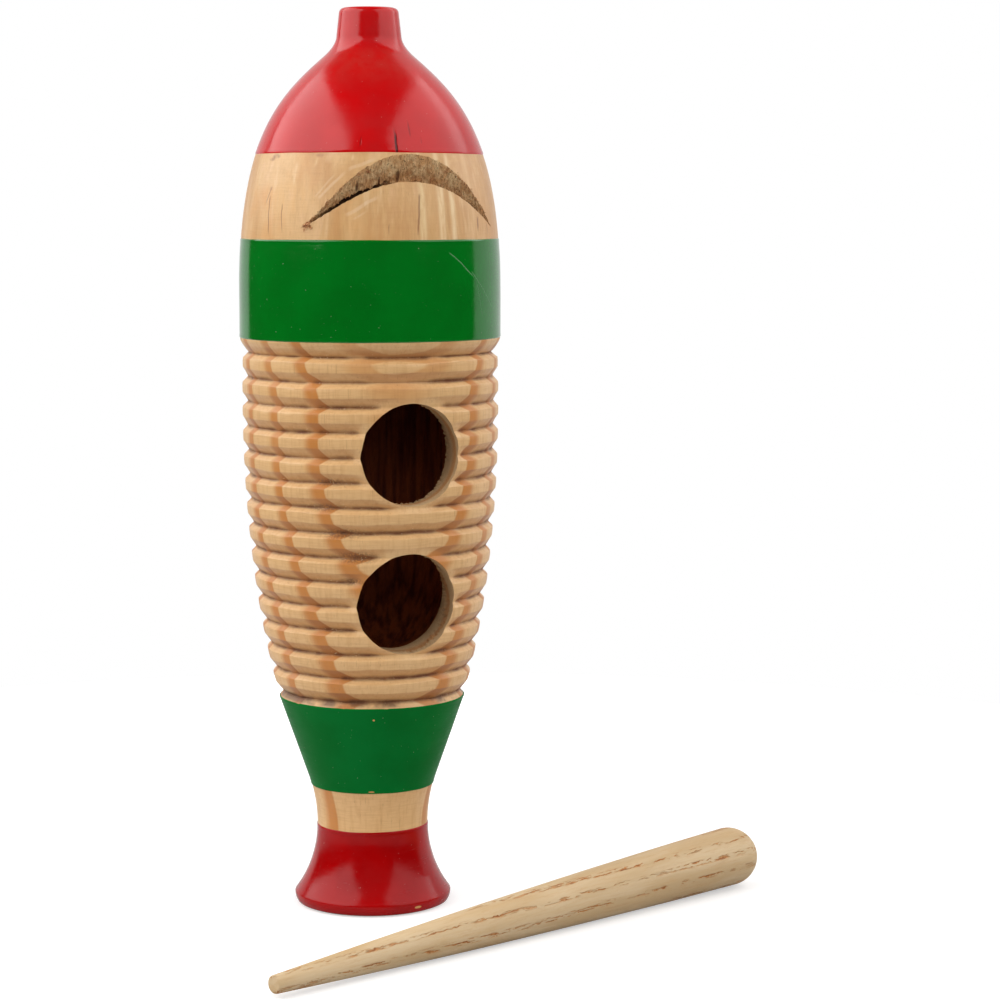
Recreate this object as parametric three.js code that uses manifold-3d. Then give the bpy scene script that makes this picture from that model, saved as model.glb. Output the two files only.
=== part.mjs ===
// A turned wooden guiro that stands on its foot, and its scraper lying in front of it.
// Millimetres. +Z is the guiro's own axis and z = 0 is the plane it stands on.
// The two finger holes face -Y.

import * as THREE from 'three';
import { mergeVertices } from 'three/addons/utils/BufferGeometryUtils.js';
import Module from 'manifold-3d';

// ---- Driving dimensions ----

const clearance = 0.3;            // gap left between two pieces that are fitted together

// foot and tail
const footRadius = 20.5;          // flat that the guiro stands on
const footRimRadius = 23.6;       // widest line of the foot
const footRimHeight = 3.5;        // rounded under-edge of the foot
const waistRadius = 16.75;        // thinnest place, between the foot and the tail
const waistHeight = 24;
const tailFlareRadius = 48;       // hollow curve from the waist into the tail's cone
const tailRimRadius = 27.9;
const tailRimHeight = 63.8;
const tailShoulder = 2.1;         // height of the slope from the tail's rim into the first groove

// ribbed part
const ridgeCount = 14;
const ridgePitch = 7.3;
const grooveDepth = 2.0;
const crestWidth = 2.6;           // flat top of one ridge
const bellyRadius = 38.45;        // largest radius over the ridges
const bellyDrop = 15.1;           // the largest radius lies this far below the last groove
const ridgeStep = 0.6;            // the first ridge stands this far outside the tail's rim

// smooth band above the ridges
const bandRise = 0.55;            // the band stands this far outside the largest ridge
const bandShoulder = 3.9;         // height of the slope from the last groove to the band
const bandHeight = 15;            // length of the band on the body, up to the glued joint

// hollow
const wall = 9.7;                 // from the largest ridge to the bore
const cavityFloorRise = 6.1;      // from the first groove up to the bottom of the bore
const cavityTaper = 53;           // length over which the bore closes towards the tail
const cavityHeadroom = 29;        // how far the bore runs on above the joint
const cavityCorner = 3;

// glued joint between head and body
const spigotDepth = 8;
const spigotWall = 5.2;           // thickness of the head's spigot

// head
const domeLength = 68.5;          // from the joint to the neck of the nose
const domeShoulder = 45.2;        // reach of the upright start of the dome's curve
const neckRadius = 13.5;
const neckSlope = 0.87;           // rise of the dome over run, where it meets the neck
const neckReach = 12.7;           // reach of the sloping end of the dome's curve
const knobRadius = 9.5;
const knobTopRadius = 8.8;
const knobLength = 8;
const knobRound = 1.9;            // rounded edge of the knob's top
const filletHeight = 6.5;         // from the neck to the straight side of the knob

// openings
const fingerHoleRadius = 15;
const fingerHoleLow = 29.8;       // centre of the lower finger hole above the first groove
const fingerHoleSpacing = 44.1;
const mouthTurn = 2.4;            // degrees from -Y towards +X
const mouthApexInset = 14.7;      // from the band's surface in to the line where the two cuts meet
const mouthApexRise = 17.9;       // height of that line above the joint
const mouthLowerSlope = 1.12;     // rise over run of the lower cut
const mouthUpperSlope = 2.18;     // rise over run of the upper cut

// scraper
const scraperLength = 183;        // from the thin end to the start of the dome
const scraperThinRadius = 2.55;
const scraperThickRadius = 8.95;
const scraperSwell = 0.86;        // how far its middle bulges beyond a straight taper
const scraperChamfer = 0.5;
const scraperRestsAt = 0.62;      // where it touches the ground, as a share of its length
const scraperAngle = 22.2;        // degrees from +X towards +Y
const scraperThinEnd = new THREE.Vector2(-60.7, -94.1);

// facets
const shellFacets = 36;
const holeFacets = 28;
const scraperFacets = 20;
const scraperSteps = 10;

// ---- Heights and radii that follow from them ----

const firstGroove = tailRimHeight + tailShoulder;
const lastGroove = firstGroove + ridgeCount * ridgePitch;
const bellyHeight = lastGroove - bellyDrop;
const bellyHalfLength = (bellyHeight - firstGroove)
  / Math.sqrt(1 - ((tailRimRadius + ridgeStep) / bellyRadius) ** 2);
const bandRadius = bellyRadius + bandRise;
const bandStart = lastGroove + bandShoulder;
const jointHeight = bandStart + bandHeight;
const cavityRadius = bellyRadius - wall;
const cavityFloor = firstGroove + cavityFloorRise;
const cavityTop = jointHeight + cavityHeadroom;
const spigotRadius = cavityRadius + spigotWall;

const wasm = await Module();
wasm.setup();

// ---- Helpers ----

// A closed manifold solid from a three.js geometry.
function toSolid(geometry) {
  const bare = geometry.clone();
  bare.deleteAttribute('normal');
  bare.deleteAttribute('uv');
  const merged = mergeVertices(bare, 1e-4);
  const corners = merged.index.array;
  const kept = [];
  for (let i = 0; i < corners.length; i += 3) {
    const [a, b, c] = [corners[i], corners[i + 1], corners[i + 2]];
    if (a !== b && b !== c && c !== a) kept.push(a, b, c);
  }
  return new wasm.Manifold(new wasm.Mesh({
    numProp: 3,
    vertProperties: new Float32Array(merged.attributes.position.array),
    triVerts: new Uint32Array(kept),
  }));
}

// The three.js geometry of a manifold solid.
function toGeometry(solid) {
  const mesh = solid.getMesh();
  const geometry = new THREE.BufferGeometry();
  geometry.setAttribute('position', new THREE.BufferAttribute(mesh.vertProperties, 3));
  geometry.setIndex(new THREE.BufferAttribute(mesh.triVerts, 1));
  const flat = geometry.toNonIndexed();
  flat.computeVertexNormals();
  return flat;
}

// A profile of (radius, height) points turned about +Z. It runs up the outside of the piece.
function turned(points, facets) {
  const geometry = new THREE.LatheGeometry(points, facets);
  geometry.rotateX(Math.PI / 2);
  return geometry;
}

// Points along one curve, without the first one.
function along(curve, steps) {
  return curve.getPoints(steps).slice(1);
}

const point = (radius, height) => new THREE.Vector2(radius, height);

// ---- Profiles ----

// Radius over the ridges at a height: they follow an ellipse from the tail's rim to the band.
function crestRadius(height) {
  const reach = (height - bellyHeight) / bellyHalfLength;
  return bellyRadius * Math.sqrt(1 - reach * reach);
}

// The foot, from its centre out and up to the waist.
function footProfile() {
  const flareHeight = waistHeight - footRimHeight;
  const flareWidth = footRimRadius - waistRadius;
  const flareRadius = (flareHeight ** 2 + flareWidth ** 2) / (2 * flareWidth);
  const flareSweep = Math.asin(flareHeight / flareRadius);
  const edge = new THREE.QuadraticBezierCurve(
    point(footRadius, 0), point(footRimRadius, 0), point(footRimRadius, footRimHeight));
  const flare = new THREE.EllipseCurve(waistRadius + flareRadius, waistHeight,
    flareRadius, flareRadius, Math.PI + flareSweep, Math.PI, true);
  return [point(0, 0), point(footRadius, 0), ...along(edge, 3), ...along(flare, 6)];
}

// The tail, from the waist out along a hollow curve, then straight up to its rim.
function tailProfile() {
  const centre = point(waistRadius + tailFlareRadius, waistHeight);
  const across = centre.x - tailRimRadius;
  const up = tailRimHeight - centre.y;
  const sweep = Math.atan2(up, across) - Math.acos(tailFlareRadius / Math.hypot(across, up));
  const flare = new THREE.EllipseCurve(centre.x, centre.y,
    tailFlareRadius, tailFlareRadius, Math.PI, Math.PI - sweep, true);
  return [...along(flare, 3), point(tailRimRadius, tailRimHeight)];
}

// The ridges: one groove point and two crest points for each.
function ridgeProfile() {
  const points = [point(crestRadius(firstGroove) - grooveDepth, firstGroove)];
  for (let ridge = 0; ridge < ridgeCount; ridge += 1) {
    const groove = firstGroove + ridge * ridgePitch;
    const low = groove + (ridgePitch - crestWidth) / 2;
    const high = low + crestWidth;
    const next = groove + ridgePitch;
    points.push(point(crestRadius(low), low), point(crestRadius(high), high));
    points.push(point(crestRadius(next) - grooveDepth, next));
  }
  return points;
}

// The bore of the body, from its top down to its floor.
function boreProfile() {
  const start = cavityFloor + cavityTaper;
  const taper = new THREE.CubicBezierCurve(
    point(cavityRadius, start),
    point(cavityRadius, start - cavityTaper / 2),
    point(cavityRadius - cavityRadius / 6, cavityFloor),
    point(0, cavityFloor));
  return [point(cavityRadius, start), ...along(taper, 7)];
}

function bodyProfile() {
  const socketRadius = spigotRadius + clearance;
  const socketFloor = jointHeight - spigotDepth - clearance;
  return [
    ...footProfile(),
    ...tailProfile(),
    ...ridgeProfile(),
    point(bandRadius, bandStart),
    point(bandRadius, jointHeight),
    point(socketRadius, jointHeight),
    point(socketRadius, socketFloor),
    point(cavityRadius, socketFloor),
    ...boreProfile(),
  ];
}

function headProfile() {
  const spigotEnd = jointHeight - spigotDepth;
  const neckHeight = jointHeight + domeLength;
  const knobFoot = neckHeight + filletHeight;
  const knobTop = knobFoot + knobLength;
  const neck = point(neckRadius, neckHeight);
  const dome = new THREE.CubicBezierCurve(
    point(bandRadius, jointHeight + clearance),
    point(bandRadius, jointHeight + domeShoulder),
    point(neckRadius + neckReach, neckHeight - neckReach * neckSlope),
    neck);
  const fillet = new THREE.QuadraticBezierCurve(
    neck,
    point(knobRadius, neckHeight + (neckRadius - knobRadius) * neckSlope),
    point(knobRadius, knobFoot));
  const edge = new THREE.QuadraticBezierCurve(
    point(knobTopRadius, knobTop - knobRound),
    point(knobTopRadius, knobTop),
    point(knobTopRadius - knobRound, knobTop));
  return [
    point(0, cavityTop),
    point(cavityRadius - cavityCorner, cavityTop),
    point(cavityRadius, cavityTop - cavityCorner),
    point(cavityRadius, spigotEnd),
    point(spigotRadius, spigotEnd),
    point(spigotRadius, jointHeight + clearance),
    point(bandRadius, jointHeight + clearance),
    ...along(dome, 13),
    ...along(fillet, 3),
    point(knobTopRadius, knobTop - knobRound),
    ...along(edge, 3),
    point(0, knobTop),
  ];
}

// The scraper, from the centre of its thin end up to the top of its dome.
function scraperRadiusAt(share) {
  const taper = scraperThinRadius + (scraperThickRadius - scraperThinRadius) * share;
  return taper + scraperSwell * 4 * share * (1 - share);
}

function scraperProfile() {
  const points = [point(0, 0), point(scraperThinRadius - scraperChamfer, 0)];
  points.push(point(scraperRadiusAt(scraperChamfer / scraperLength), scraperChamfer));
  for (let step = 1; step <= scraperSteps; step += 1) {
    const share = step / scraperSteps;
    points.push(point(scraperRadiusAt(share), share * scraperLength));
  }
  const dome = new THREE.EllipseCurve(0, scraperLength,
    scraperThickRadius, scraperThickRadius, 0, Math.PI / 2);
  const domePoints = along(dome, 5);
  domePoints[domePoints.length - 1].x = 0;
  return [...points, ...domePoints];
}

// ---- Cutters ----

// One finger hole: a drill that enters from -Y and stops in the bore.
function fingerHoleCutter(height) {
  const reach = bandRadius * 1.2;
  const drill = new THREE.CylinderGeometry(fingerHoleRadius, fingerHoleRadius, reach, holeFacets);
  drill.translate(0, -reach / 2, height);
  return toSolid(drill);
}

// The mouth: a wedge between two saw cuts that meet inside the wall.
function mouthCutter() {
  const apex = point(bandRadius - mouthApexInset, jointHeight + mouthApexRise);
  const reach = bandRadius * 1.2 - apex.x;
  const width = bandRadius * 2.4;
  const wedge = new THREE.Shape([
    apex,
    point(apex.x + reach, apex.y + reach * mouthLowerSlope),
    point(apex.x + reach, apex.y + reach * mouthUpperSlope),
  ]);
  const cutter = new THREE.ExtrudeGeometry(wedge, { depth: width, bevelEnabled: false });
  cutter.translate(0, 0, -width / 2);
  cutter.rotateX(Math.PI / 2);
  cutter.rotateZ(THREE.MathUtils.degToRad(mouthTurn - 90));
  return toSolid(cutter);
}

// ---- Pieces ----

function woodMesh(name, geometry, color, roughness) {
  const material = new THREE.MeshStandardMaterial({ color, roughness, metalness: 0 });
  const mesh = new THREE.Mesh(geometry, material);
  mesh.name = name;
  return mesh;
}

function makeBody() {
  let solid = toSolid(turned(bodyProfile(), shellFacets));
  for (const hole of [0, 1]) {
    const height = firstGroove + fingerHoleLow + hole * fingerHoleSpacing;
    solid = solid.subtract(fingerHoleCutter(height));
  }
  return woodMesh('body', toGeometry(solid), 0xd2ac78, 0.5);
}

function makeHead() {
  const solid = toSolid(turned(headProfile(), shellFacets)).subtract(mouthCutter());
  return woodMesh('head', toGeometry(solid), 0xbe1010, 0.2);
}

// The scraper lies on its swell: its axis tilts by the slope of the profile where it touches.
function makeScraper() {
  const share = scraperRestsAt;
  const slope = (scraperThickRadius - scraperThinRadius + scraperSwell * 4 * (1 - 2 * share))
    / scraperLength;
  const tilt = Math.atan(slope);
  const heading = THREE.MathUtils.degToRad(scraperAngle);
  const thinEndHeight = scraperRadiusAt(share) * Math.cos(tilt)
    - share * scraperLength * Math.sin(tilt);
  const axis = new THREE.Vector3(
    Math.cos(tilt) * Math.cos(heading), Math.cos(tilt) * Math.sin(heading), Math.sin(tilt));
  const side = new THREE.Vector3(-Math.sin(heading), Math.cos(heading), 0);
  const up = new THREE.Vector3().crossVectors(axis, side);
  const mesh = woodMesh('scraper', turned(scraperProfile(), scraperFacets), 0xcdb98c, 0.6);
  mesh.quaternion.setFromRotationMatrix(new THREE.Matrix4().makeBasis(side, up, axis));
  mesh.position.set(scraperThinEnd.x, scraperThinEnd.y, thinEndHeight);
  return mesh;
}

const guiro = new THREE.Group();
guiro.add(makeBody(), makeHead(), makeScraper());

export default guiro;
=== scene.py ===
import math
from functools import cached_property

import bmesh
import bpy
import numpy as np
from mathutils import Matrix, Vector


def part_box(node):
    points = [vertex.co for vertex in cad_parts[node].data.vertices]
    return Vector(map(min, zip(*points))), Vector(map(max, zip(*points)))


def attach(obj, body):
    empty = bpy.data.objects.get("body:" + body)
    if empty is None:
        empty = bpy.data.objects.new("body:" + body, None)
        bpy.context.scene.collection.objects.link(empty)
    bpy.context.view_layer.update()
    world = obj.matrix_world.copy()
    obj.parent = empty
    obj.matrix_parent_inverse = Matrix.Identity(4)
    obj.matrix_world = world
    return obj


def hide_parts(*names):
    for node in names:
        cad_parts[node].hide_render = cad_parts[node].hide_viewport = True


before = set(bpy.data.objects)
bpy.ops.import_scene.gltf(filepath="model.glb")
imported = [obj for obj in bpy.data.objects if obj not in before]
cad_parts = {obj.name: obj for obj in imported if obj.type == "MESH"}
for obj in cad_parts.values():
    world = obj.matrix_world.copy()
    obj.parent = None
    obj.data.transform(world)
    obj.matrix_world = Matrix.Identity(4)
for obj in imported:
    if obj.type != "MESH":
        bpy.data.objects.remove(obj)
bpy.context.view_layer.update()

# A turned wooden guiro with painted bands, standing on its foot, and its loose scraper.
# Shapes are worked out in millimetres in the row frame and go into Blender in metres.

MM = 0.001

# ---- Sizes, in millimetres ----

JOINT_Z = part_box("body")[1].z / MM  # where the head is glued on
TOP_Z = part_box("head")[1].z / MM
BAND_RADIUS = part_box("head")[1].x / MM  # smooth band around the joint
SPIGOT_END_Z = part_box("head")[0].z / MM

FOOT_RADIUS, FOOT_RIM_RADIUS, FOOT_RIM_Z = 20.5, 23.6, 3.5
WAIST_RADIUS, WAIST_Z = 16.75, 24
TAIL_FLARE_RADIUS, TAIL_RIM_RADIUS, TAIL_RIM_Z = 48, 27.9, 63.8
FIRST_GROOVE_Z, RIDGE_PITCH, RIDGE_COUNT = 65.9, 7.3, 14
GROOVE_DEPTH = 2
FLANK_ABOVE, FLANK_BELOW = 2.9, 1.65  # heights of the two sides of a groove
LAST_GROOVE_Z = FIRST_GROOVE_Z + RIDGE_COUNT * RIDGE_PITCH
BELLY_RADIUS, BELLY_Z, BELLY_HALF_LENGTH = 38.45, 153, 129.8
SHOULDER_Z = 172
CAVITY_RADIUS, CAVITY_FLOOR_Z, CAVITY_TAPER_Z, CAVITY_TOP_Z = 28.75, 72, 125, 216
SPIGOT_RADIUS, GLUE_GAP = 33.95, 0.3
HOLE_RADIUS, HOLE_HEIGHTS = 15, (95.7, 139.8)
MOUTH_APEX, MOUTH_APEX_Z = 24.3, 205.25  # line where the two cuts meet: distance in front, height
MOUTH_LOWER = (0.60, 0.044, 0.009)  # rise per mm outwards, its growth, and sideways tilt
MOUTH_UPPER = (1.15, 0.105, 0.034)
TORN_DEPTH, TORN_CURVE = 7.3, 0.0067  # edge of the wood torn away inside the mouth
NECK_Z, NECK_RADIUS, KNOB_RADIUS = 255.5, 13.5, 9.5
KNOB_FOOT_Z, KNOB_TOP_RADIUS, KNOB_ROUND = 262, 8.8, 1.9

PAINT, PAINT_ROOT = 0.14, 0.35  # thickness of the lacquer, and how deep its underside lies
NOSE_EDGE_Z = 226.8
BAND_TOP_Z, BAND_LOW_Z = 201.9, 172.5
TAIL_TOP_Z, TAIL_LOW_Z = 64.15, 36.6
FOOT_EDGE_Z = 24.5

RING_NORMAL = (-0.113, -0.994)  # across the flat growth rings of the body's wood
RING_DEPTH = 33.4  # from the axis to one ring, low down
RING_BENDS = [(30, 85, 3.6), (78, 140, -6), (156, 168, -3)]  # heights, shift
RING_SPACING, RING_GROWTH = 9.6, 0.08
COLUMNS = 256  # facets round the guiro
AROUND = np.arange(COLUMNS) * 2 * math.pi / COLUMNS  # their angles, from -Y towards +X


# ---- Small helpers ----

def srgb(red, green, blue):
    """A colour given as 0 to 255, in Blender's linear values."""
    values = []
    for channel in (red, green, blue):
        c = channel / 255
        values.append(c / 12.92 if c <= 0.04045 else ((c + 0.055) / 1.055) ** 2.4)
    return (*values, 1)


def smooth(value, low, high):
    t = np.clip((np.asarray(value, float) - low) / (high - low), 0, 1)
    return t * t * (3 - 2 * t)


def waves(angle, along, size, count, seed, grain=1):
    """A smooth random pattern from -1 to 1 that closes round the guiro.

    size is its typical length in mm; grain stretches it along the second direction."""
    rng = np.random.default_rng(seed)
    total = np.zeros(np.broadcast(angle, along).shape)
    turns = 2 * math.pi * 35 / size
    for _ in range(count):
        k = round(rng.uniform(-1, 1) * turns)
        m = rng.uniform(-1, 1) * 2 * math.pi / (size * grain)
        total = total + np.sin(k * angle + m * along + rng.uniform(0, 2 * math.pi))
    return total / math.sqrt(count) / 1.6


def bezier(p0, p1, p2, p3, steps):
    t = np.linspace(0, 1, steps + 1)[:, None]
    return ((1 - t) ** 3 * np.array(p0) + 3 * t * (1 - t) ** 2 * np.array(p1)
            + 3 * t * t * (1 - t) * np.array(p2) + t ** 3 * np.array(p3))


def quadratic(p0, p1, p2, steps):
    t = np.linspace(0, 1, steps + 1)[:, None]
    return (1 - t) ** 2 * np.array(p0) + 2 * t * (1 - t) * np.array(p1) + t * t * np.array(p2)


def add_object(name, data):
    made = bpy.data.objects.new(name, data)
    bpy.context.scene.collection.objects.link(made)
    return made


def mesh_object(name, verts_mm, faces):
    mesh = bpy.data.meshes.new(name)
    mesh.from_pydata([tuple(v) for v in np.asarray(verts_mm) * MM], [], faces)
    mesh.validate()
    return add_object(name, mesh)


def finish_shading(piece, angle):
    piece.data.polygons.foreach_set("use_smooth", [True] * len(piece.data.polygons))
    piece.data.set_sharp_from_angle(angle=math.radians(angle))


def corners(piece):
    co = np.empty(len(piece.data.vertices) * 3)
    piece.data.vertices.foreach_get("co", co)
    return co.reshape(-1, 3) / MM


def quads(order, columns, last):
    """Faces over a grid of vertices: its rows in this order, and its first columns up to last."""
    faces = []
    for low, high in zip(order[:-1], order[1:]):
        for j in range(last):
            k = (j + 1) % columns
            faces.append((low * columns + j, low * columns + k,
                          high * columns + k, high * columns + j))
    return faces


def tube(name, grid, ends=None):
    """A closed mesh over a (rows, columns, 3) grid of points whose columns go all the way round.

    ends are the two points that close it. Without them its last row joins its first."""
    rows, columns = grid.shape[:2]
    verts = grid.reshape(-1, 3)
    if ends is None:
        return mesh_object(name, verts, quads([*range(rows), 0], columns, columns))
    faces = quads(range(rows), columns, columns)
    first, last = len(verts), (rows - 1) * columns
    for j in range(columns):
        k = (j + 1) % columns
        faces.append((first, k, j))
        faces.append((first + 1, last + j, last + k))
    return mesh_object(name, np.vstack([verts, ends]), faces)


def turned(name, radius, height, loop=False):
    """A turned piece. radius and height are (rows, columns) arrays that run up its outside.

    The first and last rows lie on the axis, unless loop closes the rows on each other."""
    columns = radius.shape[1]
    angle = np.arange(columns) * 2 * math.pi / columns
    grid = np.stack([radius * np.sin(angle), -radius * np.cos(angle), height], axis=-1)
    if loop:
        return tube(name, grid)
    return tube(name, grid[1:-1], [(0, 0, height[0, 0]), (0, 0, height[-1, 0])])


def cut(piece, cutter):
    """Cuts one closed piece with another and removes the cutter."""
    modifier = piece.modifiers.new("cut", "BOOLEAN")
    modifier.operation = "DIFFERENCE"
    modifier.solver = "MANIFOLD"
    modifier.object = cutter
    graph = bpy.context.evaluated_depsgraph_get()
    result = bpy.data.meshes.new_from_object(piece.evaluated_get(graph), depsgraph=graph)
    piece.modifiers.clear()
    old = piece.data
    piece.data = result
    bpy.data.meshes.remove(old)
    bpy.data.objects.remove(cutter)


# ---- Outlines, as (radius, height) rows from the foot to the knob ----

def crest_radius(z):
    """The belly's radius on the tops of the ridges, an arc of an ellipse."""
    return BELLY_RADIUS * np.sqrt(1 - ((z - BELLY_Z) / BELLY_HALF_LENGTH) ** 2)


def foot_outline(steps=11):
    flare_height = WAIST_Z - FOOT_RIM_Z
    flare_width = FOOT_RIM_RADIUS - WAIST_RADIUS
    flare = (flare_height ** 2 + flare_width ** 2) / (2 * flare_width)
    sweep = np.linspace(math.asin(flare_height / flare), 0, steps + 1)[:, None]
    arc = np.hstack([WAIST_RADIUS + flare * (1 - np.cos(sweep)), WAIST_Z - flare * np.sin(sweep)])
    edge = quadratic((FOOT_RADIUS, 0), (FOOT_RIM_RADIUS, 0), (FOOT_RIM_RADIUS, FOOT_RIM_Z), 8)
    return np.vstack([edge, arc[1:]])


def tail_outline(steps=10):
    centre = np.array([WAIST_RADIUS + TAIL_FLARE_RADIUS, WAIST_Z])
    across, up = centre[0] - TAIL_RIM_RADIUS, TAIL_RIM_Z - centre[1]
    sweep = math.atan2(up, across) - math.acos(TAIL_FLARE_RADIUS / math.hypot(across, up))
    turn = np.linspace(0, sweep, steps + 1)[1:, None]
    arc = np.hstack([centre[0] - TAIL_FLARE_RADIUS * np.cos(turn),
                     centre[1] + TAIL_FLARE_RADIUS * np.sin(turn)])
    line = np.linspace(arc[-1], (TAIL_RIM_RADIUS, TAIL_RIM_Z), steps + 1)[1:]
    return np.vstack([arc, line])


def head_outline():
    dome = bezier((BAND_RADIUS, JOINT_Z), (BAND_RADIUS, JOINT_Z + 45.2),
                  (NECK_RADIUS + 12.7, NECK_Z - 11.05), (NECK_RADIUS, NECK_Z), 120)
    fillet = quadratic((NECK_RADIUS, NECK_Z), (KNOB_RADIUS, NECK_Z + 3.48),
                       (KNOB_RADIUS, KNOB_FOOT_Z), 14)
    side = np.linspace((KNOB_RADIUS, KNOB_FOOT_Z), (KNOB_TOP_RADIUS, TOP_Z - KNOB_ROUND), 7)
    edge = quadratic((KNOB_TOP_RADIUS, TOP_Z - KNOB_ROUND), (KNOB_TOP_RADIUS, TOP_Z),
                     (KNOB_TOP_RADIUS - KNOB_ROUND, TOP_Z - 0.05), 8)
    top = np.linspace((KNOB_TOP_RADIUS - KNOB_ROUND, TOP_Z - 0.05), (0, TOP_Z), 5)
    return np.vstack([dome, fillet[1:], side[1:], edge[1:], top[1:]])


def hard_wood(angle, z):
    """1 where the hard part of a growth ring meets the surface, as in growth_rings."""
    inward = crest_radius(z) * (np.sin(angle) * RING_NORMAL[0] - np.cos(angle) * RING_NORMAL[1])
    gap = RING_DEPTH - inward + sum(shift * smooth(z, low, high) for low, high, shift in RING_BENDS)
    share = gap / (RING_SPACING + RING_GROWTH * gap)
    share = share - np.round(share)
    return smooth(share, -0.04, 0.03) * (1 - smooth(share, 0.08, 0.3))


def ridge_rows():
    """Heights of the rows over the ridges, closer together where the outline turns."""
    above = np.array([0, 0.12, 0.5, 1.3, 2.1, 2.65, 2.83, 2.97, 3.15, 3.5])
    below = RIDGE_PITCH - np.array([2.5, 1.85, 1.71, 1.6, 1.45, 1.1, 0.6, 0.14])
    one = np.concatenate([above, [4.1], below])
    return np.concatenate([FIRST_GROOVE_Z + k * RIDGE_PITCH + one for k in range(RIDGE_COUNT)]
                          + [[LAST_GROOVE_Z]])


def ridge_radius(angle, z):
    """Outer radius over the ridges: V grooves, nearly flat crests and the lathe's unevenness."""
    groove = np.floor((z - FIRST_GROOVE_Z) / RIDGE_PITCH + 0.42)
    wander = 0.2 * waves(angle, groove * 40, 30, 9, 11)
    wander = wander + 0.1 * waves(angle, groove * 17, 8, 9, 10)
    offset = z - FIRST_GROOVE_Z - groove * RIDGE_PITCH - wander
    flank = np.where(offset > 0, FLANK_ABOVE, FLANK_BELOW)
    flank = flank * (1 + 0.06 * waves(angle, groove * 23, 24, 9, 12))
    depth = GROOVE_DEPTH + 0.14 * waves(angle, groove * 31, 40, 9, 13) - 0.4 * hard_wood(angle, z)
    for height in HOLE_HEIGHTS:
        across = crest_radius(z) * np.sin(angle)
        near = 1 - smooth(np.hypot(across, z - height), HOLE_RADIUS + 0.3, HOLE_RADIUS + 3.5)
        depth = depth * (1 - 0.55 * near * (np.cos(angle) > 0))
    away = np.sqrt(offset ** 2 + 0.12 ** 2)
    slope = depth * (1 - away / flank)
    drop = (slope + np.sqrt(slope ** 2 + 0.05 ** 2)) / 2
    crown = 0.07 * smooth(away / flank, 1, 1.7)
    nicks = 0.16 * np.clip(waves(angle, z, 2.2, 16, 14, 0.5) - 0.9, 0, 1) * smooth(drop, 0.3, 1.2)
    return crest_radius(z) - drop - 0.03 + crown + nicks


def bore_outline():
    taper = bezier((CAVITY_RADIUS, CAVITY_TAPER_Z), (CAVITY_RADIUS, 98.5),
                   (CAVITY_RADIUS * 5 / 6, CAVITY_FLOOR_Z), (0, CAVITY_FLOOR_Z), 16)
    upper = np.linspace((CAVITY_RADIUS, SPIGOT_END_Z - GLUE_GAP),
                        (CAVITY_RADIUS, CAVITY_TAPER_Z), 12)
    return np.vstack([upper[:-1], taper])


# ---- Pieces of the guiro ----

def spread(outline):
    """The same outline in every column."""
    return (np.repeat(outline[:, :1], COLUMNS, axis=1), np.repeat(outline[:, 1:], COLUMNS, axis=1))


def make_body_wood():
    low_r, low_z = spread(np.vstack([[(0, 0)], foot_outline(), tail_outline()]))
    rows = ridge_rows()
    ridge_z = np.repeat(rows[:, None], COLUMNS, axis=1)
    ridge_r = ridge_radius(AROUND[None, :], ridge_z)
    ridge_r[0] = np.minimum(ridge_r[0], TAIL_RIM_RADIUS - 1.4)
    shoulder = quadratic((ridge_r[-1].mean(), LAST_GROOVE_Z), (BAND_RADIUS - 0.1, SHOULDER_Z - 0.9),
                         (BAND_RADIUS, SHOULDER_Z + 0.3), 10)[1:]
    socket = SPIGOT_RADIUS + GLUE_GAP
    high_r, high_z = spread(np.vstack([
        shoulder, [(BAND_RADIUS, JOINT_Z), (socket, JOINT_Z), (socket, SPIGOT_END_Z - GLUE_GAP)],
        bore_outline()]))
    piece = turned("body_wood", np.vstack([low_r, ridge_r, high_r]),
                   np.vstack([low_z, ridge_z, high_z]))
    for height in HOLE_HEIGHTS:
        cut(piece, hole_cutter(height))
    return piece


def hole_cutter(height):
    """A drill along -Y whose edge tears the wood where it breaks into the bore."""
    rings, around = 90, 180
    depth = np.linspace(-BAND_RADIUS * 1.3, 0, rings)[:, None]
    turn = np.arange(around)[None, :] * 2 * math.pi / around
    bore = -np.sqrt(CAVITY_RADIUS ** 2 - (HOLE_RADIUS * np.sin(turn)) ** 2)
    torn = smooth(depth, bore - 3, bore - 0.6) * (1 - smooth(depth, bore + 2, bore + 4))
    chips = waves(turn * 3, depth, 5, 14, int(height)) + 0.5 * waves(turn * 3, depth, 2, 14, 5)
    radius = HOLE_RADIUS + 0.05 * waves(turn, depth, 8, 9, 6) + torn * (0.05 + 0.42 * chips)
    grid = np.stack([radius * np.sin(turn), np.repeat(depth, around, axis=1),
                     height + radius * np.cos(turn)], axis=-1)
    return face_outwards(tube("hole_cutter", grid, [(0, depth[0, 0], height), (0, 0, height)]))


def face_outwards(piece):
    """Turns the faces round if the closed mesh is inside out."""
    shape = bmesh.new()
    shape.from_mesh(piece.data)
    bmesh.ops.recalc_face_normals(shape, faces=shape.faces)
    if shape.calc_volume(signed=True) < 0:
        bmesh.ops.reverse_faces(shape, faces=shape.faces)
    shape.to_mesh(piece.data)
    shape.free()
    return piece


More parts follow.
